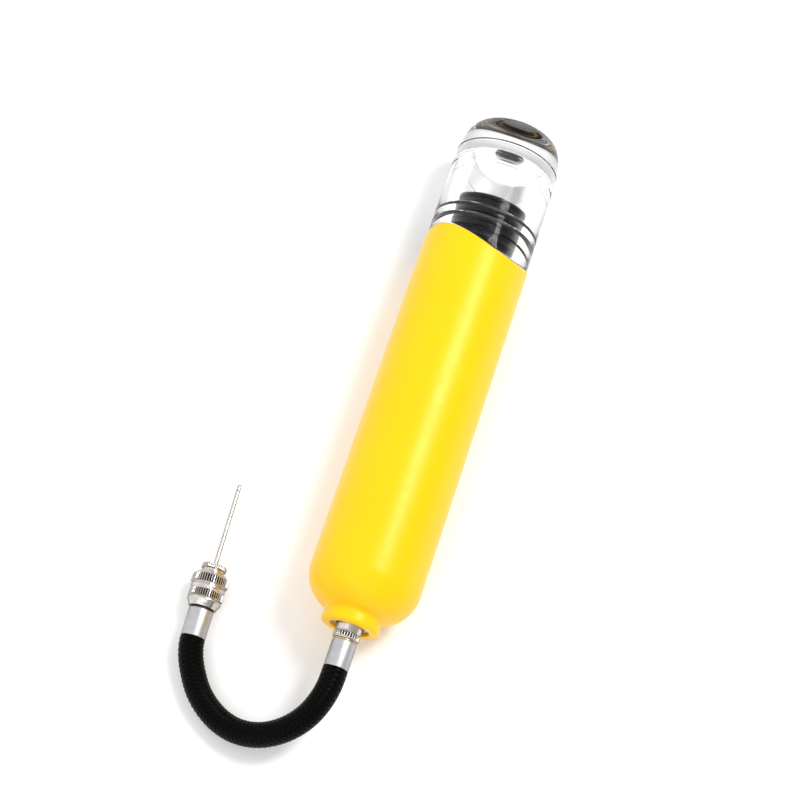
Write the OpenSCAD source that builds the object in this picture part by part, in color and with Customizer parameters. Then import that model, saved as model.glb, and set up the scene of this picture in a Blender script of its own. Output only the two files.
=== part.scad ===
// Hand ball pump lying on its side: a yellow barrel, a clear push handle at one end,
// and at the other a short braided hose with a knurled chuck and an inflation needle.
// The pump axis lies along +Y at the height of the barrel's radius. The origin is on the
// ground, midway between the neck's face and the handle's end.

/* [Body] */
// Length from the neck's face to the handle's end
body_len = 200; // [196:1:206]
// Outer diameter of the shell
body_d = 40; // [39:0.5:42]
// Wall of the shell
wall = 2.3; // [2:0.1:2.4]
// Radius of the rounded shoulder
shoulder_r = 14; // [13:0.5:14]
// Diameter of the neck
neck_d = 20.4; // [20:0.2:22]
// Diameter of the hole in the neck
neck_hole_d = 13.9; // [13.5:0.1:14.5]

/* [Wavy rim] */
// Lowest point of the rim, from the neck's face
rim_low = 144.4; // [143.5:0.1:145.5]
// Radius of the curved cut that makes the wave
rim_r = 32.3; // [30:0.1:40]
// Direction of the wave's low line, from the top of the barrel
rim_turn = 42; // [0:1:90]
// Gap between the rim and the clear handle
rim_gap = 0.3; // [0.2:0.05:0.5]

/* [Clear handle] */
// Outer diameter of the clear handle
cap_d = 39.2; // [38.5:0.1:39.4]
// Diameter of its blind bore
cap_bore_d = 27; // [26.6:0.1:27.6]
// Solid clear acrylic above the bore
cap_top = 14.4; // [10:0.1:15]
// Height of its domed shoulder
dome_h = 15; // [13:0.5:16]
// Radius of the flat in the middle of its end
end_flat_r = 14; // [13:0.5:15]
// Depth of each V groove
groove_depth = 1.1; // [0.9:0.1:1.3]
// Width of each V groove
groove_w = 1.6; // [1.4:0.1:1.8]
// Thickness of the rubber grip rings
ring_wire = 0.7; // [0.6:0.05:0.75]
// Diameter of the round badge set in the top
badge_d = 11.6; // [9:0.2:12]
// Depth of the badge's recess
badge_recess = 0.6; // [0.5:0.1:1.6]

/* [Pump] */
// Stroke of the piston
stroke = 84; // [60:1:84]
// Outer diameter of the inner cylinder
cyl_d = 35; // [34.6:0.1:35.2]
// Bore of the inner cylinder
cyl_bore_d = 31; // [30.6:0.1:31.2]
// Diameter of the piston rod
rod_d = 10; // [9.5:0.5:10.5]
// Play of a running fit, on the radius
run_gap = 0.05; // [0.02:0.01:0.08]
// Play of a fixed fit, on the radius
snug_gap = 0.02; // [0.01:0.01:0.04]

/* [Hose and fittings] */
// Outer diameter of the braided hose
hose_d = 9; // [8.8:0.1:9]
// Diameter of the ferrules
ferrule_d = 8.8; // [8.6:0.1:9]
// Diameter of the knurled port nut
nut_d = 9.7; // [9.4:0.1:9.9]
// Diameter of the chuck's knurled collar
chuck_d = 13.2; // [12.8:0.1:13.2]
// Diameter of the needle
needle_d = 1.6; // [1.5:0.1:1.8]
// Bare length of the needle
needle_len = 31.5; // [28:0.1:34]

/* [Hidden] */
$fn = 96;
eps = 0.01;

body_r = body_d / 2;
bore_r = body_r - wall;
neck_r = neck_d / 2;
neck_hole_r = neck_hole_d / 2;
cap_r = cap_d / 2;
spigot_r = bore_r - 0.3;
cap_bore_r = cap_bore_d / 2;
cyl_r = cyl_d / 2;
cyl_bore_r = cyl_bore_d / 2;
rod_r = rod_d / 2;
ferrule_r = ferrule_d / 2;
nut_r = nut_d / 2;
chuck_r = chuck_d / 2;
needle_r = needle_d / 2;

// Stations along the pump axis, from the neck's face at 0
shoulder_top = 18.3;
insert_front = 1;
nut_seat = 4;
insert_flange = 7;
insert_back = 9.5;
valve_seat = 22;
head_face = 19;
cyl_front = 25;
head_end = 29;
head_seal_at = 27;
piston_front = 31;
seal_front = 34;
screw_shoulder = 34.5;
guide_front = 40.5;
piston_back = 45;
gland_front = piston_back + stroke + 2;
cyl_back = gland_front + 3;
gland_back = cyl_back + 5.6;
rod_seal_front = gland_back - 2.8;
plug_front = 140;
flange_top = 143.5;
gasket_top = flange_top + 0.5;
rod_end = 158;
screw_seat = 164;
plug_top = 167.5;
cap_ceiling = body_len - cap_top;
dome_low = body_len - dome_h;
badge_seat = body_len - badge_recess;

// Grooves round the clear handle; the lower two hold the rubber rings
ring_lower_at = 155.7;
ring_upper_at = 159.8;
groove_rows = [ring_lower_at, ring_upper_at, 179.7, 187];

// Plug in the handle's bore
plug_core_r = cap_bore_r - 1.1;
ridge_r = cap_bore_r - 0.2;
ridges = 7;
ridge_pitch = 3.3;
ridge_h = 1.6;
first_ridge = 146.2;

// Pieces inside the barrel
insert_flange_r = 8.8;
head_stem_r = 8.5;
head_plug_r = cyl_bore_r - 0.3;
head_groove_r = head_plug_r - 1.4;
o_ring_wire = 0.78;
rod_seal_r = rod_r + 2.6;
seal_groove_r = cyl_bore_r - 2.6;
guide_groove_r = cyl_bore_r - 1.7;

// Screws that hold the piston and the handle on the rod
piston_screw_r = 2.5;
piston_screw_head_r = 4.2;
rod_screw_r = 2;
rod_screw_head_r = 3.4;

// Outlet valve
ball_r = 2.4;
valve_hole_r = 1.4;
ball_at = valve_seat - sqrt(ball_r * ball_r - valve_hole_r * valve_hole_r) - 0.1;
pocket_r = 3;
retainer_top = 12.2;

// Stations along the axis of the hose's first fitting, outwards from the neck
nut_out = -4.3;
washer_out = -5;
ferrule_end = -14.8;
nipple_r = 3.2;
barb_r = 2.4;
way_r = 1.2;

// Far fitting: the point of its axis at station 0, its turn, and its stations
far_at = [-53.2, -101.2, 6.7];
far_turn = 3;
far_ferrule = -15.1;
far_seal = -4.9;
far_tail = -4.2;
far_cavity = -0.3;
far_knurl_low = -1;
far_waist = 2;
far_knurl_high = 4.2;
far_face = 8.3;
far_rim = 11.8;
needle_tip = far_rim + needle_len;
root_r = needle_r + 0.5;
chuck_bore_r = 4.6;
swivel_r = 2.8;

// The hose's centre line between its ferrules
function far_point(t) = far_at + [-sin(far_turn) * t, cos(far_turn) * t, 0];
route = concat(
    [[0, -100 + ferrule_end, body_r], [0, -118, body_r]],
    [[-0.3, -121.8, 19.6], [-1.5, -126.5, 18.5], [-3.5, -131, 17], [-6.3, -134.8, 15.2],
     [-9.8, -138, 13.3], [-13.7, -140.4, 11.4], [-17.8, -142, 9.6], [-22, -142.8, 8],
     [-26.4, -142.8, 6.6], [-31, -141.9, 5.5], [-35.7, -140, 4.8], [-40.4, -137, 4.6],
     [-44.6, -133.1, 4.6], [-47.9, -128.5, 4.8], [-50.4, -124, 5.6]],
    [far_point(far_ferrule - 3.6), far_point(far_ferrule)]);

function unit(v) = v / norm(v);
function heading(path, i) = unit(path[min(i + 1, len(path) - 1)] - path[max(i - 1, 0)]);
function across(dir) = unit(cross(dir, abs(dir.z) > 0.9 ? [1, 0, 0] : [0, 0, 1]));

// A round tube of one radius swept along a list of points
module swept(path, r, sides) {
    last = len(path) - 1;
    rings = [for (i = [0:last]) for (k = [0:sides - 1])
        let (dir = heading(path, i), side = across(dir), up = cross(side, dir), a = 360 * k / sides)
        path[i] + r * (side * cos(a) + up * sin(a))];
    walls = [for (i = [0:last - 1]) for (k = [0:sides - 1])
        let (a = i * sides + k, b = i * sides + (k + 1) % sides)
        each [[a, a + sides, b], [b, a + sides, b + sides]]];
    ends = [[for (k = [0:sides - 1]) k], [for (k = [sides - 1:-1:0]) last * sides + k]];
    polyhedron(points = rings, faces = concat(walls, ends));
}

// Frames: along the pump's axis, and along the far fitting's axis
module on_pump() {
    translate([0, -100, body_r]) rotate([-90, 0, 0]) children();
}
module on_far() {
    translate(far_at) rotate([0, 0, far_turn]) rotate([-90, 0, 0]) children();
}

// A ring or disc between two stations
module ring(from, to, outer, inner = 0) {
    translate([0, 0, from]) difference() {
        cylinder(r = outer, h = to - from);
        if (inner > 0) translate([0, 0, -1]) cylinder(r = inner, h = to - from + 2);
    }
}
// An o-ring centred on one station
module o_ring(at, ring_r, wire_r) {
    translate([0, 0, at]) rotate_extrude() translate([ring_r, 0]) circle(r = wire_r, $fn = 32);
}
// Solid above the wavy rim, lifted by a gap
module above_rim(gap) {
    union() {
        translate([0, 0, rim_low + rim_r]) rotate([0, 0, rim_turn - 90]) rotate([0, 90, 0])
            cylinder(r = rim_r - gap, h = 3 * body_d, center = true, $fn = 180);
        translate([-body_d, -body_d, rim_low + rim_r]) cube([2 * body_d, 2 * body_d, body_len]);
    }
}

// Barrel
module outer_shell() {
    centre = body_r - shoulder_r;
    start = acos((neck_r - centre) / shoulder_r);
    inner_r = shoulder_r - wall;
    inner_end = acos((neck_hole_r - centre) / inner_r);
    outside = [for (k = [0:12]) let (a = -start + start * k / 12)
        [centre + shoulder_r * cos(a), shoulder_top + shoulder_r * sin(a)]];
    inside = [for (k = [0:12]) let (a = -inner_end * k / 12)
        [centre + inner_r * cos(a), shoulder_top + inner_r * sin(a)]];
    lip = [[neck_hole_r, 0], [neck_r - 0.4, 0], [neck_r + 0.2, 0.6], [neck_r + 0.2, 1.8],
           [neck_r, 2.8]];
    color("gold") on_pump() difference() {
        rotate_extrude() polygon(concat(lip, outside, [[body_r, 160], [bore_r, 160]], inside));
        above_rim(0);
    }
}
module port_insert() {
    color("peru") on_pump() difference() {
        union() {
            ring(insert_front, insert_flange, neck_hole_r);
            ring(insert_flange, insert_back, insert_flange_r);
        }
        ring(-1, nut_seat, nut_r + 0.25);
        ring(0, insert_back + 1, nipple_r);
    }
}
module pump_cylinder() {
    color("silver") on_pump() ring(cyl_front, cyl_back, cyl_r, cyl_bore_r);
}
module cylinder_head() {
    color("dimgray") on_pump() difference() {
        union() {
            ring(insert_back, head_face + eps, head_stem_r);
            ring(head_face, cyl_front, cyl_r);
            ring(cyl_front - eps, head_end, head_plug_r);
        }
        ring(0, valve_seat, pocket_r);
        ring(0, head_end + 1, valve_hole_r);
        ring(head_seal_at - 0.8, head_seal_at + 0.8, cyl_r, head_groove_r);
    }
}
module head_seal() {
    color("black") on_pump() o_ring(head_seal_at, cyl_bore_r - 0.85, o_ring_wire);
}
module valve_retainer() {
    color("goldenrod") on_pump() ring(insert_back, retainer_top, pocket_r, way_r);
}
module outlet_ball() {
    color("silver") on_pump() translate([0, 0, ball_at]) sphere(r = ball_r);
}
module outlet_spring() {
    turns = 5;
    per_turn = 10;
    from = retainer_top + 0.35;
    to = ball_at - 2.05;
    coil = [for (i = [0:turns * per_turn]) let (a = 360 * i / per_turn)
        [1.8 * cos(a), 1.8 * sin(a), from + (to - from) * i / (turns * per_turn)]];
    color("silver") on_pump() swept(coil, 0.25, 6);
}
module end_gland() {
    color("dimgray") on_pump() difference() {
        union() {
            ring(gland_front, cyl_back + eps, cyl_bore_r - 0.1);
            ring(cyl_back, gland_back, cyl_r);
        }
        ring(gland_front - 1, gland_back + 1, rod_r + run_gap);
        ring(rod_seal_front, gland_back + 1, rod_seal_r);
    }
}
module rod_seal() {
    color("black") on_pump() ring(rod_seal_front, gland_back - 0.2, rod_seal_r, rod_r + run_gap);
}

// Handle
module v_groove(at) {
    translate([0, 0, at]) rotate_extrude() polygon([
        [cap_r - groove_depth, 0],
        [cap_r + 1, -groove_w / 2 * (groove_depth + 1) / groove_depth],
        [cap_r + 1, groove_w / 2 * (groove_depth + 1) / groove_depth]]);
}
module clear_cap() {
    shoulder = [for (k = [0:12]) let (a = 90 * k / 12)
        [end_flat_r + (cap_r - end_flat_r) * cos(a), dome_low + dome_h * sin(a)]];
    color([0.9, 0.93, 0.95, 0.35]) on_pump() difference() {
        union() {
            rotate_extrude() polygon(concat([[0, dome_low]], shoulder, [[0, body_len]]));
            intersection() {
                ring(plug_front, dome_low + eps, cap_r);
                above_rim(rim_gap);
            }
            ring(gasket_top, ring_upper_at, spigot_r);
        }
        ring(0, cap_ceiling, cap_bore_r);
        ring(badge_seat, body_len + 1, badge_d / 2);
        for (at = groove_rows) v_groove(at);
    }
}
module handle_plug() {
    color([0.08, 0.08, 0.08]) on_pump() difference() {
        union() {
            ring(plug_front, flange_top, spigot_r - 0.1);
            ring(flange_top - eps, plug_top, plug_core_r);
            for (k = [0:ridges - 1]) let (at = first_ridge + ridge_pitch * k)
                ring(at, min(at + ridge_h, plug_top), ridge_r);
        }
        ring(plug_front - 1, rod_end, rod_r + snug_gap);
        ring(rod_end - 1, plug_top + 1, rod_screw_r + 0.1);
        ring(screw_seat, plug_top + 1, rod_screw_head_r + 0.2);
    }
}
module cap_gasket() {
    color([0.1, 0.1, 0.1]) on_pump() ring(flange_top, gasket_top, spigot_r - 0.2, plug_core_r + 0.2);
}
module grip_ring(at) {
    color([0.05, 0.05, 0.05]) on_pump() o_ring(at, cap_r - 0.42, ring_wire / 2);
}
module grip_ring_lower() {
    grip_ring(ring_lower_at);
}
module grip_ring_upper() {
    grip_ring(ring_upper_at);
}
module end_badge() {
    color([0.2, 0.2, 0.22]) on_pump() ring(badge_seat, body_len - 0.1, badge_d / 2);
}
module piston_rod() {
    color("lightgray") on_pump() difference() {
        ring(guide_front - 1.5, rod_end, rod_r);
        ring(piston_front, 56, piston_screw_r);
        ring(148, rod_end + 1, rod_screw_r);
    }
}
module rod_screw() {
    color("gray") on_pump() union() {
        ring(148.5, screw_seat + eps, rod_screw_r - snug_gap);
        difference() {
            ring(screw_seat, screw_seat + 3, rod_screw_head_r);
            ring(screw_seat + 1.5, screw_seat + 4, 1.5);
        }
    }
}
module piston_head() {
    color([0.15, 0.15, 0.16]) on_pump() difference() {
        ring(piston_front, piston_back, cyl_bore_r - 0.3);
        ring(seal_front, seal_front + 4.2, cyl_r, seal_groove_r);
        ring(guide_front, guide_front + 3, cyl_r, guide_groove_r);
        ring(guide_front - 1.5, piston_back + 1, rod_r + snug_gap);
        ring(piston_front - 1, guide_front, piston_screw_r + 0.1);
        ring(piston_front - 1, screw_shoulder, piston_screw_head_r + 0.2);
    }
}
module piston_seal() {
    color("black") on_pump()
        ring(seal_front + 0.1, seal_front + 2.9, cyl_bore_r - run_gap, seal_groove_r + 0.3);
}
module guide_ring() {
    color("ivory") on_pump()
        ring(guide_front + 0.1, guide_front + 2.9, cyl_bore_r - run_gap, guide_groove_r);
}
module piston_screw() {
    color("gray") on_pump() union() {
        ring(screw_shoulder - eps, 55, piston_screw_r - snug_gap);
        difference() {
            ring(piston_front + 0.4, screw_shoulder, piston_screw_head_r);
            ring(piston_front - 1, piston_front + 2, 1.6);
        }
    }
}

// Hose end at the pump
module port_nut() {
    color("silver") on_pump() difference() {
        union() {
            ring(nut_out, nut_seat - 1, nut_r - 0.15);
            ring(nut_out + 0.5, nut_out + 2.5, nut_r);
        }
        ring(nut_out - 1, nut_seat, nipple_r + run_gap);
    }
}
module port_washer() {
    color("darkgoldenrod") on_pump() ring(washer_out, nut_out - 0.2, ferrule_r - 0.1, nipple_r);
}
module inlet_nipple() {
    color("goldenrod") on_pump() difference() {
        union() {
            ring(washer_out, insert_back - 0.5, nipple_r);
            ring(ferrule_end + 0.5, washer_out + eps, barb_r);
        }
        ring(ferrule_end - 1, insert_back, way_r);
    }
}
module ferrule(from, to) {
    difference() {
        ring(from, to, ferrule_r);
        ring(from - 1, to + 1, barb_r + snug_gap);
    }
}
module ferrule_in() {
    color("silver") on_pump() ferrule(ferrule_end, washer_out);
}
module hose() {
    color([0.08, 0.08, 0.08]) swept(route, hose_d / 2, 12);
}

// Far end of the hose: chuck and needle
module ferrule_out() {
    color("silver") on_far() ferrule(far_ferrule, far_seal);
}
module outlet_nipple() {
    color("goldenrod") on_far() difference() {
        union() {
            ring(far_ferrule + 0.5, far_seal, barb_r);
            ring(far_seal - eps, 0, swivel_r);
            ring(-eps, 1.4, chuck_bore_r - 0.3);
        }
        ring(far_ferrule - 1, 3, way_r);
    }
}
module swivel_seal() {
    color("black") on_far() ring(far_seal, far_tail - 0.2, ferrule_r - 0.1, swivel_r);
}
module chuck() {
    tail_r = 5.05;
    low_r = chuck_r - 0.35;
    waist_r = chuck_r - 0.5;
    color("silver") on_far() difference() {
        rotate_extrude() polygon([
            [0, far_tail], [tail_r, far_tail], [tail_r + 0.35, far_tail + 1.2],
            [low_r - 0.2, far_knurl_low - 0.2], [low_r, far_knurl_low], [low_r, far_waist - 0.2],
            [waist_r, far_waist], [waist_r, far_knurl_high - 0.2], [chuck_r, far_knurl_high],
            [chuck_r, far_face - 1], [chuck_r - 0.4, far_face - 0.6],
            [chuck_r - 1.2, far_face - 0.4], [chuck_r - 1.6, far_face], [0, far_face]]);
        ring(far_cavity, far_face + 1, chuck_bore_r);
        ring(far_tail - 1, far_face, swivel_r + run_gap);
    }
}
module chuck_gasket() {
    color("black") on_far() ring(1.6, 4.2, chuck_bore_r - 0.1, way_r);
}
module needle_base() {
    color("silver") on_far() difference() {
        rotate_extrude() polygon([
            [0, 4.4], [chuck_bore_r - run_gap, 4.4], [chuck_bore_r - run_gap, far_face - 0.1],
            [4.5, far_face + 0.1], [4.5, far_face + 0.5], [3.9, far_face + 0.9],
            [3.9, far_face + 1.5], [4.5, far_face + 1.9], [4.5, far_rim - 0.5],
            [4.2, far_rim - 0.15], [3.6, far_rim], [0, far_rim]]);
        ring(6, far_rim + 1, root_r + snug_gap);
        ring(4, 7, way_r / 2);
    }
}
module needle_tube() {
    color("silver") on_far() difference() {
        union() {
            ring(6, far_rim + 0.4, root_r);
            ring(far_rim, needle_tip - needle_r, needle_r);
            translate([0, 0, needle_tip - needle_r]) sphere(r = needle_r, $fn = 32);
        }
        ring(5, needle_tip - 2, 0.5);
        translate([0, 0, needle_tip - 2.5]) rotate([90, 0, 0])
            cylinder(r = 0.35, h = 2, $fn = 24);
    }
}

outer_shell();
port_insert();
pump_cylinder();
cylinder_head();
head_seal();
valve_retainer();
outlet_ball();
outlet_spring();
end_gland();
rod_seal();
clear_cap();
handle_plug();
cap_gasket();
grip_ring_lower();
grip_ring_upper();
end_badge();
piston_rod();
rod_screw();
piston_head();
piston_seal();
guide_ring();
piston_screw();
port_nut();
port_washer();
inlet_nipple();
ferrule_in();
hose();
ferrule_out();
outlet_nipple();
swivel_seal();
chuck();
chuck_gasket();
needle_base();
needle_tube();
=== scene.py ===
"""The looks of a hand ball pump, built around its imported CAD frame.

The pump lies along +Y with its axis at the height of the barrel's radius. Turned pieces are made in a
frame of their own whose z runs along their axis, so a place along that axis is called a station, in mm.
"""
import math

import bmesh
import bpy
from mathutils import Matrix, Vector


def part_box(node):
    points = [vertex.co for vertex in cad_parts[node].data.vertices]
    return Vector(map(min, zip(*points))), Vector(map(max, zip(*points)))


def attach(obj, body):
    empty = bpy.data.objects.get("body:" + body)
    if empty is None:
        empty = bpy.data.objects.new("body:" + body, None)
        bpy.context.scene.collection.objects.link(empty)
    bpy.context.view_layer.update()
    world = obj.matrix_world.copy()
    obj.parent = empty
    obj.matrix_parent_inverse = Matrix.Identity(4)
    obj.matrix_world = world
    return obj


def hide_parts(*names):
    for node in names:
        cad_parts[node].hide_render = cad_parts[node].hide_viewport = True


MM = 0.001
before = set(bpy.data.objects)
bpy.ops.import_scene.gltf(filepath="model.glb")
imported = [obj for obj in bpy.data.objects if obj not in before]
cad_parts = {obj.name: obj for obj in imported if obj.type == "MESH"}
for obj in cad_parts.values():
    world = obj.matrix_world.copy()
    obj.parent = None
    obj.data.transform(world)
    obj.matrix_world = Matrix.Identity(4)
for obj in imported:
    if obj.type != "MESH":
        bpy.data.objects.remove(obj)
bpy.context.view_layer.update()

shell_low, shell_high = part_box("outer_shell")
AXIS_Z = (shell_low.z + shell_high.z) / 2
NECK_Y = shell_low.y
BODY_R = (shell_high.z - shell_low.z) / 2 / MM
LIE = Matrix.Rotation(-math.pi / 2, 4, "X")
PUMP = Matrix.Translation((0, NECK_Y, AXIS_Z)) @ LIE

# The far fitting's axis at station 0 and its turn, and the stations where the ferrules meet the hose
FAR_AT = Vector((-0.0532, -0.1012, 0.0067))
FAR_TURN = math.radians(3)
FAR_FERRULE = -15.1
PUMP_FERRULE = -14.8
FAR_DIR = Vector((-math.sin(FAR_TURN), math.cos(FAR_TURN), 0))
FAR = Matrix.Translation(FAR_AT) @ Matrix.Rotation(FAR_TURN, 4, "Z") @ LIE


# ---------------------------------------------------------------- camera
def make_camera():
    """A long lens above the neck's side, turned a little to the left of the pump's axis."""
    azimuth, elevation = math.radians(17.775), math.radians(68.334)
    right = Vector((math.cos(azimuth), math.sin(azimuth), 0))
    flat = Vector((-math.sin(azimuth), math.cos(azimuth), 0))
    look = flat * math.cos(elevation) - Vector((0, 0, math.sin(elevation)))
    up = right.cross(look)
    data = bpy.data.cameras.new("camera")
    data.sensor_width = 36
    data.lens = 94.5
    data.clip_start = 0.01
    camera = bpy.data.objects.new("camera", data)
    bpy.context.scene.collection.objects.link(camera)
    turn = Matrix((right, up, -look)).transposed().to_4x4()
    camera.matrix_world = Matrix.Translation((0.07558, -0.27856, 0.71879)) @ turn
    bpy.context.scene.camera = camera


# ---------------------------------------------------------------- materials
class Nodes:
    """A small helper that makes and links a material's nodes."""

    def __init__(self, name):
        self.material = bpy.data.materials.new(name)
        self.material.use_nodes = True
        self.tree = self.material.node_tree
        self.shader = self.tree.nodes["Principled BSDF"]
        self.place = self.tree.nodes.new("ShaderNodeTexCoord").outputs["Object"]

    def link(self, source, target):
        self.tree.links.new(source, target)

    def noise(self, scale, detail=3.0, stretch=(1, 1, 1), turn_z=0.0):
        mapping = self.tree.nodes.new("ShaderNodeMapping")
        mapping.inputs["Scale"].default_value = stretch
        mapping.inputs["Rotation"].default_value[2] = turn_z
        self.link(self.place, mapping.inputs["Vector"])
        texture = self.tree.nodes.new("ShaderNodeTexNoise")
        texture.inputs["Scale"].default_value = scale
        texture.inputs["Detail"].default_value = detail
        self.link(mapping.outputs["Vector"], texture.inputs["Vector"])
        return texture.outputs["Fac"]

    def between(self, factor, low, high):
        """low to high as the factor goes from 0.3 to 0.7."""
        node = self.tree.nodes.new("ShaderNodeMapRange")
        node.inputs["From Min"].default_value = 0.3
        node.inputs["From Max"].default_value = 0.7
        node.inputs["To Min"].default_value = low
        node.inputs["To Max"].default_value = high
        self.link(factor, node.inputs["Value"])
        return node.outputs["Result"]

    def mixed(self, factor, one, other):
        node = self.tree.nodes.new("ShaderNodeMix")
        node.data_type = "RGBA"
        node.inputs["A"].default_value = (*one, 1)
        node.inputs["B"].default_value = (*other, 1)
        self.link(self.between(factor, 0, 1), node.inputs["Factor"])
        return node.outputs["Result"]

    def painted_flute_shade(self, plain, flute_shade_colour):
        """Paints shade into the flutes: the plain colour turns to the painted shade colour where the mesh's
        "cut" attribute says that metal was cut away.
        """
        cut = self.tree.nodes.new("ShaderNodeAttribute")
        cut.attribute_name = "cut"
        node = self.tree.nodes.new("ShaderNodeMix")
        node.data_type = "RGBA"
        self.link(plain, node.inputs["A"])
        node.inputs["B"].default_value = (*flute_shade_colour, 1)
        self.link(cut.outputs["Fac"], node.inputs["Factor"])
        return node.outputs["Result"]

    def bump(self, height, strength, distance, under=None):
        node = self.tree.nodes.new("ShaderNodeBump")
        node.inputs["Strength"].default_value = strength
        node.inputs["Distance"].default_value = distance * MM
        self.link(height, node.inputs["Height"])
        if under is not None:
            self.link(under, node.inputs["Normal"])
        return node.outputs["Normal"]

    def set(self, **values):
        for name, value in values.items():
            socket = self.shader.inputs[name.replace("_", " ")]
            if isinstance(value, bpy.types.NodeSocket):
                self.link(value, socket)
            else:
                socket.default_value = value
        return self.material


def plastic(name, color, dark, roughness, grain=0.02, **more):
    """Moulded plastic: faint mottling, a slightly uneven gloss and a fine orange-peel surface."""
    n = Nodes(name)
    peel = n.bump(n.noise(420, 2), 0.25, grain)
    fine = n.bump(n.noise(3500, 3), 0.15, grain / 3, peel)
    return n.set(
        Base_Color=n.mixed(n.noise(35, 4), dark, color),
        Roughness=n.between(n.noise(260, 5), roughness * 0.88, roughness * 1.15),
        Normal=fine,
        **more,
    )


def turned_metal(name, color, tint, roughness, along, marks=0.004, **more):
    """Turned or plated metal: fine marks round its axis, a tint that drifts, and shade painted into its
    flutes.
    """
    n = Nodes(name)
    rings = n.noise(1, 6, stretch=[9000 if k == along else 60 for k in range(3)])
    lines = n.bump(rings, 0.35, marks)
    pits = n.bump(n.noise(2600, 4), 0.12, marks, lines)
    return n.set(
        # Flutes get a painted shade: the base colour falls to 8 % of the tint where metal was cut away
        Base_Color=n.painted_flute_shade(n.mixed(n.noise(300, 3), tint, color), [0.08 * c for c in tint]),
        Metallic=1.0,
        Roughness=n.between(rings, roughness * 0.7, roughness * 1.3),
        Normal=pits,
        **more,
    )


def rubber(name, shade, roughness):
    """Dull black rubber with a bloom of finer, lighter specks."""
    n = Nodes(name)
    dark = (shade, shade, shade * 1.05)
    light = (shade * 2.2, shade * 2.2, shade * 2.3)
    return n.set(
        Base_Color=n.mixed(n.noise(900, 6), dark, light),
        Roughness=n.between(n.noise(1500, 4), roughness * 0.85, roughness * 1.1),
        Normal=n.bump(n.noise(4200, 4), 0.3, 0.02),
    )


def clear_acrylic():
    """Thick polished acrylic with the faintest haze of fine wiping marks."""
    n = Nodes("clear_acrylic")
    haze = n.noise(700, 6, stretch=(1, 1, 0.15))
    return n.set(
        Base_Color=(0.995, 0.985, 0.985, 1),
        Transmission_Weight=1.0,
        IOR=1.49,
        Specular_Tint=(0.15, 0.15, 0.15, 1),
        Roughness=n.between(haze, 0.0, 0.02),
        Normal=n.bump(n.noise(140, 2), 0.06, 0.02),
    )


def braid_yarn():
    """Black polyester yarn: glossy filaments that run along each strand."""
    n = Nodes("braid")
    run = n.tree.nodes.new("ShaderNodeAttribute")
    run.attribute_name = "yarn"
    mapping = n.tree.nodes.new("ShaderNodeMapping")
    mapping.inputs["Scale"].default_value = (1.6, 14, 1)
    n.link(run.outputs["Vector"], mapping.inputs["Vector"])
    fibres = n.tree.nodes.new("ShaderNodeTexNoise")
    fibres.inputs["Scale"].default_value = 1
    fibres.inputs["Detail"].default_value = 4
    n.link(mapping.outputs["Vector"], fibres.inputs["Vector"])
    fac = fibres.outputs["Fac"]
    return n.set(
        Base_Color=n.mixed(fac, (0.0006, 0.0006, 0.0006), (0.003, 0.0028, 0.0025)),
        Roughness=n.between(fac, 0.25, 0.38),
        Specular_IOR_Level=0.06,
        Specular_Tint=(0.6, 0.6, 0.6, 1),
        Normal=n.bump(fac, 0.5, 0.06),
    )


ALONG_Y, ALONG_Z = 1, 2
NICKEL = ((0.67, 0.645, 0.63), (0.54, 0.50, 0.46))
ALUMINIUM = ((0.52, 0.525, 0.54), (0.45, 0.455, 0.47))
BRASS = ((0.70, 0.50, 0.24), (0.58, 0.38, 0.18))
COPPER = ((0.60, 0.42, 0.33), (0.42, 0.28, 0.21))
DARK_EDGE = (0.25, 0.24, 0.24, 1)
STEEL = ((0.50, 0.50, 0.51), (0.40, 0.40, 0.41))


def make_materials():
    return {
        "yellow_shell": plastic(
            "yellow_shell", (0.93, 0.53, 0.0015), (0.91, 0.505, 0.0015), 0.34, Specular_IOR_Level=0.32,
            Specular_Tint=(1, 0.93, 0.6, 1),
        ),
        "black_plastic": plastic(
            "black_plastic", (0.004, 0.004, 0.009), (0.003, 0.003, 0.006), 0.3,
            Specular_IOR_Level=0.2),
        "badge": plastic("badge", (0.055, 0.055, 0.07), (0.04, 0.04, 0.052), 0.3),
        "nylon": plastic("nylon", (0.72, 0.70, 0.62), (0.64, 0.61, 0.52), 0.45),
        "rubber": rubber("rubber", 0.006, 0.5),
        "braid": braid_yarn(),
        "clear_acrylic": clear_acrylic(),
        "nickel": turned_metal("nickel", *NICKEL, 0.22, ALONG_Z, Specular_Tint=DARK_EDGE),
        "aluminium": turned_metal("aluminium", *ALUMINIUM, 0.42, ALONG_Z, 0.006, Specular_Tint=DARK_EDGE),
        "brass": turned_metal("brass", *BRASS, 0.22, ALONG_Z),
        "copper_brass": turned_metal("copper_brass", *COPPER, 0.28, ALONG_Z),
        "steel": turned_metal("steel", *STEEL, 0.25, ALONG_Y),
        "cad_nickel": turned_metal("cad_nickel", (0.58, 0.58, 0.59), (0.46, 0.46, 0.47), 0.16, ALONG_Y,
                                   Specular_Tint=(0.02, 0.02, 0.02, 1)),
        "cad_aluminium": turned_metal("cad_aluminium", *ALUMINIUM, 0.30, ALONG_Y),
        "cad_brass": turned_metal("cad_brass", *BRASS, 0.25, ALONG_Y),
    }


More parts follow.
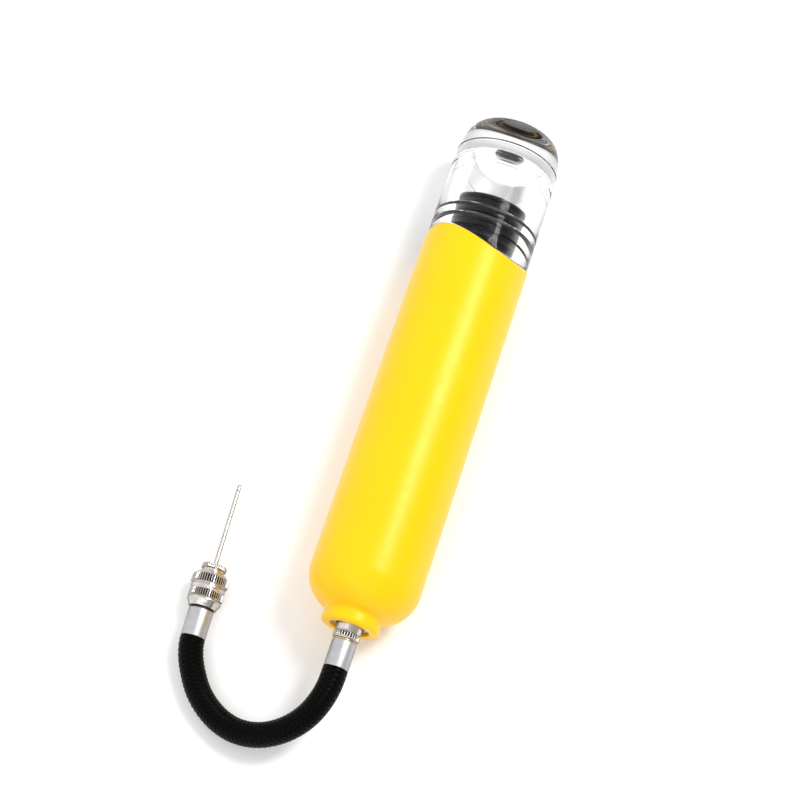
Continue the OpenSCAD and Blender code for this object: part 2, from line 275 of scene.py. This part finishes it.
# ---------------------------------------------------------------- turned shapes
def rounded(corners, steps=5, loop=False):
    """An outline of (radius, station) from corners of (radius, station[, fillet])."""
    count, out = len(corners), []
    for i, corner in enumerate(corners):
        here = Vector(corner[:2])
        fillet = corner[2] if len(corner) > 2 else 0
        at_end = not loop and i in (0, count - 1)
        if not fillet or at_end:
            out.append(tuple(here))
            continue
        before = Vector(corners[i - 1][:2]) - here
        after = Vector(corners[(i + 1) % count][:2]) - here
        half = before.angle(after) / 2
        reach = min(fillet / math.tan(half), before.length * 0.49, after.length * 0.49)
        start, end = here + before.normalized() * reach, here + after.normalized() * reach
        for k in range(steps + 1):
            t = k / steps
            point = start * (1 - t) ** 2 + here * 2 * t * (1 - t) + end * t**2
            out.append(tuple(point))
    return out


def arc(centre, radius, start, end, steps):
    """Points on a circle in (radius, station), the angle measured from outwards towards +station."""
    angles = [math.radians(start + (end - start) * k / steps) for k in range(steps + 1)]
    return [(centre[0] + radius * math.cos(a), centre[1] + radius * math.sin(a)) for a in angles]


# The cut, in mm, at which a flute gets its full painted shade
FLUTE_DEPTH = 0.4


def revolve(name, outline, place, body, slot, replaces, segments=192, shape=None, sharp=35):
    """Turns a closed outline round the place's z. shape(radius, station, turn) may move each point."""
    verts, faces, rows, flute_shade_mask = [], [], [], []
    for i in range(segments):
        turn = 2 * math.pi * i / segments
        row = []
        for k, (radius, station) in enumerate(outline):
            if radius < 1e-6 and i:
                row.append(rows[0][k])
                continue
            r, s = shape(radius, station, turn) if shape else (radius, station)
            row.append(len(verts))
            verts.append((r * math.sin(turn) * MM, -r * math.cos(turn) * MM, s * MM))
            # How much metal was cut away here, which sets how much shade is painted into the flute
            flute_shade_mask.append(min(1, (radius - r) / FLUTE_DEPTH))
        rows.append(row)
    for i in range(segments):
        a, b = rows[i], rows[(i + 1) % segments]
        for k in range(len(outline)):
            m = (k + 1) % len(outline)
            face = list(dict.fromkeys((a[k], b[k], b[m], a[m])))
            if len(face) > 2:
                faces.append(face)
    mesh = bpy.data.meshes.new(name)
    mesh.from_pydata(verts, [], faces)
    # The "cut" attribute darkens the metals' base colour in their flutes: painted shade
    mesh.attributes.new("cut", "FLOAT", "POINT").data.foreach_set("value", flute_shade_mask)
    piece = bpy.data.objects.new(name, mesh)
    bpy.context.scene.collection.objects.link(piece)
    finish_mesh(piece, MATERIALS[slot], sharp)
    piece.matrix_world = place
    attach(piece, body)
    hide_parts(*replaces)


def finish_mesh(piece, material, sharp):
    """Merges doubled points, turns the faces outwards and shades the mesh smooth."""
    mesh = piece.data
    bm = bmesh.new()
    bm.from_mesh(mesh)
    bmesh.ops.remove_doubles(bm, verts=bm.verts, dist=1e-7)
    bmesh.ops.dissolve_degenerate(bm, edges=bm.edges, dist=1e-8)
    bmesh.ops.recalc_face_normals(bm, faces=bm.faces)
    bm.to_mesh(mesh)
    bm.free()
    mesh.shade_smooth()
    mesh.set_sharp_from_angle(angle=math.radians(sharp))
    mesh.materials.append(material)


def ease(x):
    """0 below 0, 1 above 1, and a smooth step between."""
    x = min(1.0, max(0.0, x))
    return x * x * (3 - 2 * x)


def knurled(bands, count, depth, lead=0.35):
    """A shape function that cuts straight flutes over bands of (from, to, least radius)."""
    def shape(radius, station, turn):
        for low, high, least in bands:
            if radius > least and low <= station <= high:
                wave = abs((turn * count / (2 * math.pi)) % 1 - 0.5) * 2
                cut = ease(wave * 1.7 - 0.35)
                inside = ease((station - low) / lead) * ease((high - station) / lead)
                return radius - depth * cut * inside, station
        return radius, station
    return shape


def rows_between(radius, low, high, count):
    """Extra points along a straight stretch, so that flutes have points to move."""
    return [(radius, low + (high - low) * k / count) for k in range(count + 1)]


# ---------------------------------------------------------------- the wavy rim
RIM_LOW, RIM_R, RIM_TURN = 144.4, 32.3, math.radians(42)
RIM_GAP = 0.3
ON_RIM = 1000


def rim_station(radius, turn):
    """The rim is cut by a round body across the barrel, so it rises away from its low line."""
    away = radius * math.sin(turn - RIM_TURN)
    return RIM_LOW + RIM_R - math.sqrt(RIM_R**2 - away**2)


def follow_rim(radius, station, turn):
    """Stations near ON_RIM are measured from the rim."""
    if station > ON_RIM / 2:
        return radius, station - ON_RIM + rim_station(radius, turn)
    return radius, station


# ---------------------------------------------------------------- barrel
def outer_shell():
    wall, shoulder_r, shoulder_top, mouth_r = 2.3, 14, 18.3, 6.95
    bore = BODY_R - wall
    centre = (BODY_R - shoulder_r, shoulder_top)
    neck = rounded([(mouth_r, 3), (mouth_r, 0, 0.6), (10.5, 0, 1.8), (10.35, 2.8, 2.4),
                    (10.1, 4.6, 2.2), (11.6, 5.5, 1.8), (12.1, 5.7)], steps=9)[1:-1]
    outside = arc(centre, shoulder_r, -64, 0, 28)
    side = rows_between(BODY_R, shoulder_top + 1, 140, 24)
    rim = rounded([(BODY_R, ON_RIM - 3), (BODY_R, ON_RIM, 0.55), (bore, ON_RIM, 0.35),
                   (bore, ON_RIM - 3)], steps=6)
    inside = arc(centre, shoulder_r - wall, 0, -85, 20)
    outline = neck + outside + side + rim + [(bore, 60)] + inside + [(mouth_r, 6.6)]
    revolve("shell", outline, PUMP, "barrel", "yellow_shell", ["outer_shell"], 256, follow_rim)


def port_bush():
    outline = rounded([(5.1, 1, 0.15), (6.9, 1, 0.3), (6.9, 7), (8.8, 7), (8.8, 9.5), (3.2, 9.5),
                       (3.2, 4), (5.1, 4)], loop=True)
    revolve("port_bush", outline, PUMP, "barrel", "copper_brass", ["port_insert"], 96)


def hose_fittings():
    """The ferrules with their rolled ends, and the washers beside them."""
    for name, place, low, high, washer, node in (
        ("ferrule_pump", PUMP, PUMP_FERRULE, -5.0, (-5.0, -4.5), "ferrule_in"),
        ("ferrule_chuck", FAR, FAR_FERRULE, -4.9, (-4.9, -4.4), "ferrule_out"),
    ):
        bore, outer = 2.45, 4.4
        outline = rounded([(bore, low), (outer, low, 0.28), (outer, high, 0.35), (bore, high)],
                          loop=True)
        revolve(name, outline, place, "barrel", "aluminium", [node], 128)
        w_low, w_high = washer
        is_pump = node == "ferrule_in"
        ring = rounded([(3.2, w_low), (4.3, w_low, 0.12), (4.3, w_high, 0.12), (3.2, w_high)],
                       loop=True)
        revolve("washer_pump" if is_pump else "seal_chuck", ring, place, "barrel",
                "brass" if is_pump else "rubber",
                ["port_washer" if is_pump else "swivel_seal"], 96)


def port_nut():
    """The nut in the neck: a band of flutes, and a smooth collar that widens inwards."""
    band = (-3.9, -1.9)
    outline = rounded([(3.25, -4.3), (4.45, -4.3, 0.2), (4.5, band[0] - 0.1)])[:-1]
    outline += [(4.5, band[0])] + rows_between(4.85, band[0] + 0.2, band[1] - 0.2, 8)
    outline += [(4.45, band[1])] + rounded([(4.45, band[1]), (4.5, -1.3, 0.3), (4.95, 0.6, 0.4),
                                            (4.95, 1.4, 0.3), (4.6, 1.8, 0.2), (4.6, 3, 0.25), (3.25, 3)])
    revolve("port_nut_knurled", outline, PUMP, "port_nut", "nickel", ["port_nut"], 30 * 12,
            knurled([(*band, 4.7)], 30, 0.4, 0.3), sharp=50)


# ---------------------------------------------------------------- hose
# The hose's centre line between its ferrules, in metres. Beside the far ferrule it bends more softly
# than the CAD hose does, and stays within half a millimetre of it.
ROUTE = [
    (0, -0.1148, 0.02), (0, -0.118, 0.02),
    (-0.0003, -0.1218, 0.0196), (-0.0015, -0.1265, 0.0185), (-0.0035, -0.131, 0.017),
    (-0.0063, -0.1348, 0.0152), (-0.0098, -0.138, 0.0133), (-0.0137, -0.1404, 0.0114),
    (-0.0178, -0.142, 0.0096), (-0.022, -0.1428, 0.008), (-0.0264, -0.1428, 0.0066),
    (-0.031, -0.1419, 0.0055), (-0.0357, -0.14, 0.0048), (-0.0404, -0.137, 0.0046),
    (-0.0446, -0.1331, 0.0046), (-0.0479, -0.1285, 0.0048), (-0.0504, -0.124, 0.0056),
    (-0.0516, -0.1207, 0.0062), (-0.0522, -0.1183, 0.0066), tuple(FAR_AT + FAR_DIR * FAR_FERRULE * MM),
]


def smooth_path(points, per_span=20):
    """A curve through the points, as evenly spaced samples with a frame that doesn't twist."""
    p = [Vector(x) for x in points]
    p = [2 * p[0] - p[1]] + p + [2 * p[-1] - p[-2]]
    fine = []
    for i in range(1, len(p) - 2):
        for k in range(per_span):
            t = k / per_span
            a, b, c, d = p[i - 1 : i + 3]
            fine.append(0.5 * (2 * b + (c - a) * t + (2 * a - 5 * b + 4 * c - d) * t**2
                               + (3 * b - a - 3 * c + d) * t**3))
    fine.append(p[-2])
    for _ in range(40):
        fine[2:-2] = [(fine[i - 1] + fine[i] * 2 + fine[i + 1]) / 4
                      for i in range(2, len(fine) - 2)]
    return fine


def resampled(points, step):
    """The same path with samples a fixed step apart, and its length."""
    gone = [0.0]
    for a, b in zip(points, points[1:]):
        gone.append(gone[-1] + (b - a).length)
    count = round(gone[-1] / step)
    out, i = [], 0
    for k in range(count + 1):
        want = gone[-1] * k / count
        while i < len(points) - 2 and gone[i + 1] < want:
            i += 1
        share = (want - gone[i]) / max(gone[i + 1] - gone[i], 1e-9)
        out.append(points[i].lerp(points[i + 1], min(1, share)))
    return out, gone[-1]


def frames_along(points):
    """(side, up) at each point, carried along without twist."""
    side, out = Vector((0, 0, 1)), []
    for i in range(len(points)):
        ahead = (points[min(i + 1, len(points) - 1)] - points[max(i - 1, 0)]).normalized()
        side = (side - ahead * side.dot(ahead)).normalized()
        out.append((side.copy(), ahead.cross(side)))
    return out


HOSE_R = 4.5
SAMPLE = 0.25
CARRIERS = 12
BRAID_LEAD = 20.0
STRAND_HALF = 0.70
STRAND_MID = 4.14
WEAVE_RISE = 0.19
SECTION = [(-1, -0.02), (-0.82, 0.10), (-0.5, 0.155), (-0.2, 0.12), (0, 0.075), (0.2, 0.12),
           (0.5, 0.155), (0.82, 0.10), (1, -0.02), (0.5, -0.12), (-0.5, -0.12)]


def braided_hose():
    """A rubber hose in a sleeve of strands that pass over two and under two."""
    path, length = resampled(smooth_path(ROUTE), SAMPLE * MM)
    frames = frames_along(path)
    verts, faces, yarn = [], [], []

    def on_tube(i, angle, radius):
        side, up = frames[i]
        return path[i] + (side * math.cos(angle) + up * math.sin(angle)) * radius * MM

    def skin(rings, width):
        """Joins rings of points and closes both ends."""
        start = len(verts) - rings * width
        for i in range(rings - 1):
            for k in range(width):
                a, b = start + i * width + k, start + i * width + (k + 1) % width
                faces.append((a, b, b + width, a + width))
        faces.append(tuple(range(start + width - 1, start - 1, -1)))
        faces.append(tuple(range(len(verts) - width, len(verts))))

    core_sides, core_rings = 48, range(0, len(path), 4)
    core_r = STRAND_MID - 0.16
    for i in core_rings:
        for k in range(core_sides):
            verts.append(on_tube(i, 2 * math.pi * k / core_sides, core_r))
            yarn.append((i * SAMPLE, k, 0))
    skin(len(core_rings), core_sides)

    slope = 2 * math.pi * STRAND_MID / BRAID_LEAD
    for way in (1, -1):
        for c in range(CARRIERS):
            for i in range(len(path)):
                gone = length / MM * i / (len(path) - 1)
                crossing = 2 * CARRIERS * gone / BRAID_LEAD
                phase = crossing + 2 * c if way > 0 else 2 * c - crossing
                rise = way * WEAVE_RISE * math.cos(math.pi * (phase - 0.5) / 2)
                angle = 2 * math.pi * (way * gone / BRAID_LEAD + c / CARRIERS)
                for across, height in SECTION:
                    swing = across * STRAND_HALF * math.hypot(1, slope) / STRAND_MID
                    radius = min(STRAND_MID + rise + height, HOSE_R)
                    verts.append(on_tube(i, angle + swing, radius))
                    yarn.append((gone * 1.4, across * STRAND_HALF + 7 * c + 150 * way, 0))
            skin(len(path), len(SECTION))

    mesh = bpy.data.meshes.new("braided_hose")
    mesh.from_pydata(verts, [], faces)
    layer = mesh.attributes.new("yarn", "FLOAT_VECTOR", "POINT")
    layer.data.foreach_set("vector", [x for v in yarn for x in v])
    mesh.shade_smooth()
    mesh.materials.append(MATERIALS["braid"])
    hose = bpy.data.objects.new("braided_hose", mesh)
    bpy.context.scene.collection.objects.link(hose)
    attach(hose, "barrel")
    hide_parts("hose")
    return hose, path, length


# ---------------------------------------------------------------- chuck and needle
def chuck():
    """The collar that grips the needle: a flared tail and two bands of flutes with a groove between."""
    low, high = (-1.0, 2.0), (4.2, 7.5)
    tail = rounded([(2.85, -4.2), (4.9, -4.2, 0.3), (5.35, -3.1, 0.5), (6.05, -1.9, 0.6),
                    (5.95, -1.25, 0.2), (5.75, low[0])])[:-1]
    outline = tail + [(5.75, low[0])] + rows_between(6.25, low[0] + 0.3, low[1] - 0.3, 7)
    outline += rounded([(5.85, low[1]), (5.85, low[1] + 0.5, 0.1), (6.15, low[1] + 0.8, 0.15),
                        (6.15, high[0] - 0.75, 0.15), (5.85, high[0] - 0.45, 0.1),
                        (5.85, high[0])])
    outline += rows_between(6.6, high[0] + 0.3, high[1] - 0.3, 7)
    outline += rounded([(6.1, high[1]), (5.6, high[1] + 0.15, 0.1), (5.4, 8.3, 0.3), (4.6, 8.3, 0.2),
                        (4.6, -0.3), (2.85, -0.3)])
    revolve("chuck_collar", outline, FAR, "chuck", "nickel", ["chuck"], 46 * 10,
            knurled([(*low, 6.0), (*high, 6.4)], 46, 0.5, 0.3), sharp=50)


def needle_head():
    """The needle's threaded base: a stub with a helical thread, a waist and a fluted rim."""
    pitch, thread_low, thread_high = 0.8, 4.4, 8.0
    flutes = knurled([(10.2, 11.7, 4.3)], 36, 0.25, 0.25)

    def shape(radius, station, turn):
        if radius > 4.2 and thread_low < station < thread_high:
            wave = abs((station / pitch - turn / (2 * math.pi)) % 1 - 0.5) * 2
            return radius - 0.45 * ease(wave), station
        return flutes(radius, station, turn)

    outline = [(1.32, thread_low), (4.0, thread_low)]
    outline += rows_between(4.55, thread_low + 0.1, thread_high - 0.1, 36)
    outline += rounded([(4.0, thread_high), (4.0, 8.45, 0.1), (4.5, 8.5, 0.15), (4.5, 9.0, 0.15),
                        (3.6, 9.2, 0.2), (3.6, 10.0, 0.2), (4.2, 10.15)], steps=3)
    outline += rows_between(4.5, 10.3, 11.55, 5)
    outline += rounded([(4.5, 11.55), (4.25, 11.8, 0.15), (2.2, 11.8, 0.1), (2.0, 11.6, 0.1),
                        (1.32, 11.6)], steps=3)[1:]
    revolve("needle_head", outline, FAR, "needle", "nickel", ["needle_base"], 240, shape, sharp=50)


# ---------------------------------------------------------------- handle
CAP_R = 19.6
CAP_TOP = 200
CAP_BORE_R = 13.5
END_FLAT_R = 14
DOME_H = 15
BADGE_R, BADGE_RECESS = 5.8, 0.6
GRIP_GROOVES = (155.7, 159.8)
CLEAR_GROOVES = (179.7, 187)


def cap_radius(station):
    """The clear handle's side: straight, then a quarter of an ellipse up to the flat of its end."""
    up = max(0, station - CAP_TOP + DOME_H) / DOME_H
    return END_FLAT_R + (CAP_R - END_FLAT_R) * math.sqrt(max(0, 1 - up**2))


def finger_groove(station):
    """A shallow flat-bottomed groove with steep sides, met while going down the side."""
    depth, half = 0.3, 0.7
    return [(cap_radius(station + half), station + half, 0.12),
            (cap_radius(station) - depth, station + half - 0.3, 0.2),
            (cap_radius(station) - depth, station - half + 0.3, 0.2),
            (cap_radius(station - half), station - half, 0.12)]


def v_groove(station, depth, half):
    """A V groove's corners, met while going down the side."""
    return [(cap_radius(station + half), station + half, 0.15), (cap_radius(station) - depth, station, 0.1),
            (cap_radius(station - half), station - half, 0.15)]


def clear_handle():
    """The clear handle: thick acrylic with a blind bore, a domed end and a spigot inside the shell."""
    spigot, spigot_low, ceiling = 17.4, 144, 185.6
    low_groove, high_groove = CLEAR_GROOVES
    dome = [CAP_TOP - DOME_H + DOME_H * math.cos(math.radians(3 * k)) for k in range(1, 30)]
    above = [(cap_radius(s), s) for s in dome if s > high_groove + 1]
    below = [(cap_radius(s), s) for s in dome if s < high_groove - 1]
    seat = CAP_TOP - BADGE_RECESS
    corners = [(0, seat), (BADGE_R, seat, 0.05), (BADGE_R, CAP_TOP, 0.15)] + above
    corners += finger_groove(high_groove) + below + finger_groove(low_groove)
    for station in reversed(GRIP_GROOVES):
        corners += v_groove(station, 1.0, 0.65)
    corners += [(CAP_R, ON_RIM + 4), (CAP_R, ON_RIM + RIM_GAP, 0.35),
                (spigot, ON_RIM + RIM_GAP, 0.1), (spigot, spigot_low, 0.3), (CAP_BORE_R, spigot_low, 0.3)]
    corners += tool_marks(ceiling) + [(CAP_BORE_R, ceiling, 0.25), (0, ceiling)]
    revolve("clear_handle", rounded(corners), PUMP, "handle", "clear_acrylic", ["clear_cap"], 384,
            follow_rim, sharp=25)


def tool_marks(ceiling):
    """Fine rings that the cutter left in the bore's wall, below its ceiling."""
    out, pitch, depth, rows = [], 1.15, 0.045, 5
    for k in range(rows, 0, -1):
        station = ceiling - 0.4 - pitch * k
        out += [(CAP_BORE_R, station, 0.1), (CAP_BORE_R + depth, station + 0.15, 0.1),
                (CAP_BORE_R + depth, station + 0.35, 0.1), (CAP_BORE_R, station + 0.5, 0.1)]
    return out


def black_plug():
    """The plug that the clear handle screws on to, with coarse rounded threads."""
    core, ridge, top = CAP_BORE_R - 1.1, CAP_BORE_R - 0.2, 167.5
    rod_hole, flange = 5.02, 17.3
    ridges, pitch, first_ridge = 6, 3.3, 145.9
    corners = [(rod_hole, 140, 0.1), (flange, 140, 0.3), (flange, 143.5, 0.3), (core, 143.5, 0.3)]
    for k in range(ridges):
        at = first_ridge + pitch * k
        corners += [(core, at, 0.3), (ridge, at + 0.5, 0.45), (ridge, at + 1.6, 0.45),
                    (core, at + 2.1, 0.3)]
    corners += [(core, 165.4, 0.2), (ridge - 0.1, 165.7, 0.3), (ridge - 0.1, 166.7, 0.6),
                (core - 0.3, top, 0.4), (3.6, top, 0.2), (3.6, 164), (2.1, 164), (2.1, 158),
                (rod_hole, 158)]
    revolve("black_plug", rounded(corners, loop=True), PUMP, "handle", "black_plastic",
            ["handle_plug"], 192, sharp=40)


def grip_rings():
    for station, node in zip(GRIP_GROOVES, ("grip_ring_lower", "grip_ring_upper")):
        outline = rounded([(CAP_R - 1.02, station, 0.1), (CAP_R - 0.02, station - 0.64, 0.25),
                           (CAP_R - 0.02, station + 0.64, 0.25)], loop=True)
        revolve(node + "_rubber", outline, PUMP, "handle", "rubber", [node], 256)


def end_badge():
    """A plain round badge: a rolled rim, a shallow dish and a raised centre.

    Its back reaches a little into the clear handle, so that no film of air shows between them.
    """
    overlap = 0.02
    top, back, rim = CAP_TOP - 0.1, CAP_TOP - BADGE_RECESS - overlap, BADGE_R - 0.05
    outline = rounded([(0, back), (rim, back, 0.05), (rim, top, 0.15), (rim - 0.7, top, 0.1),
                       (rim - 0.9, top - 0.25, 0.1), (1.5, top - 0.25, 0.1), (1.3, top - 0.1, 0.1),
                       (0, top - 0.1)])
    revolve("badge_disc", outline, PUMP, "handle", "badge", ["end_badge"], 96)


# ---------------------------------------------------------------- carried-over CAD nodes
CAD_LOOKS = {
    "black_plastic": ["cylinder_head", "end_gland", "piston_head"],
    "rubber": ["head_seal", "rod_seal", "cap_gasket", "piston_seal", "chuck_gasket"],
    "cad_aluminium": ["pump_cylinder", "piston_rod"],
    "cad_brass": ["valve_retainer", "inlet_nipple", "outlet_nipple"],
    "steel": ["outlet_ball", "outlet_spring", "rod_screw", "piston_screw"],
    "cad_nickel": ["needle_tube"],
    "nylon": ["guide_ring"],
}


def dress_cad_nodes():
    for look, names in CAD_LOOKS.items():
        for name in names:
            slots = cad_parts[name].data.materials
            slots.clear()
            slots.append(MATERIALS[look])


# ---------------------------------------------------------------- stage
def floor():
    mesh = bpy.data.meshes.new("floor")
    half = 3.0
    mesh.from_pydata([(-half, -half, 0), (half, -half, 0), (half, half, 0), (-half, half, 0)], [],
                     [(0, 1, 2, 3)])
    n = Nodes("floor")
    mesh.materials.append(n.set(
        Base_Color=n.mixed(n.noise(3, 3), (0.90, 0.90, 0.90), (0.93, 0.93, 0.93)), Roughness=0.75))
    plane = bpy.data.objects.new("floor", mesh)
    bpy.context.scene.collection.objects.link(plane)


def soft_box(name, direction, distance, size, power):
    """A rectangular light that looks at the middle of the pump from a direction."""
    data = bpy.data.lights.new(name, "AREA")
    data.shape = "RECTANGLE"
    data.size, data.size_y = size
    data.energy = power
    light = bpy.data.objects.new(name, data)
    bpy.context.scene.collection.objects.link(light)
    towards = Vector(direction).normalized()
    light.location = Vector((0, 0, AXIS_Z)) + towards * distance
    light.rotation_euler = towards.to_track_quat("Z", "Y").to_euler()


def lighting():
    world = bpy.data.worlds.new("world")
    bpy.context.scene.world = world
    world.use_nodes = True
    nodes, links = world.node_tree.nodes, world.node_tree.links
    background = nodes["Background"]
    background.inputs["Color"].default_value = (1, 1, 1, 1)
    side = nodes.new("ShaderNodeSeparateXYZ")
    links.new(nodes.new("ShaderNodeTexCoord").outputs["Generated"], side.inputs["Vector"])
    fade = nodes.new("ShaderNodeMapRange")
    fade.interpolation_type = "SMOOTHSTEP"
    for name, value in (("From Min", -0.8), ("From Max", 0.8), ("To Min", 1.15), ("To Max", 0.55)):
        fade.inputs[name].default_value = value
    links.new(side.outputs["X"], fade.inputs["Value"])
    links.new(fade.outputs["Result"], background.inputs["Strength"])
    soft_box("strip", (0.44, 0.35, 0.83), 1.0, (0.24, 0.4), 7)
    soft_box("near", (0.1, -0.9, 0.5), 1.2, (0.7, 0.7), 1.8)
    soft_box("above", (-0.3, -0.5, 0.8), 1.6, (1.2, 1.2), 3)
    bpy.context.scene.view_settings.view_transform = "Standard"


# ---------------------------------------------------------------- build
make_camera()
MATERIALS = make_materials()
hose, hose_path, hose_length = braided_hose()
outer_shell()
port_bush()
hose_fittings()
port_nut()
chuck()
needle_head()
clear_handle()
black_plug()
grip_rings()
end_badge()
dress_cad_nodes()
floor()
lighting()
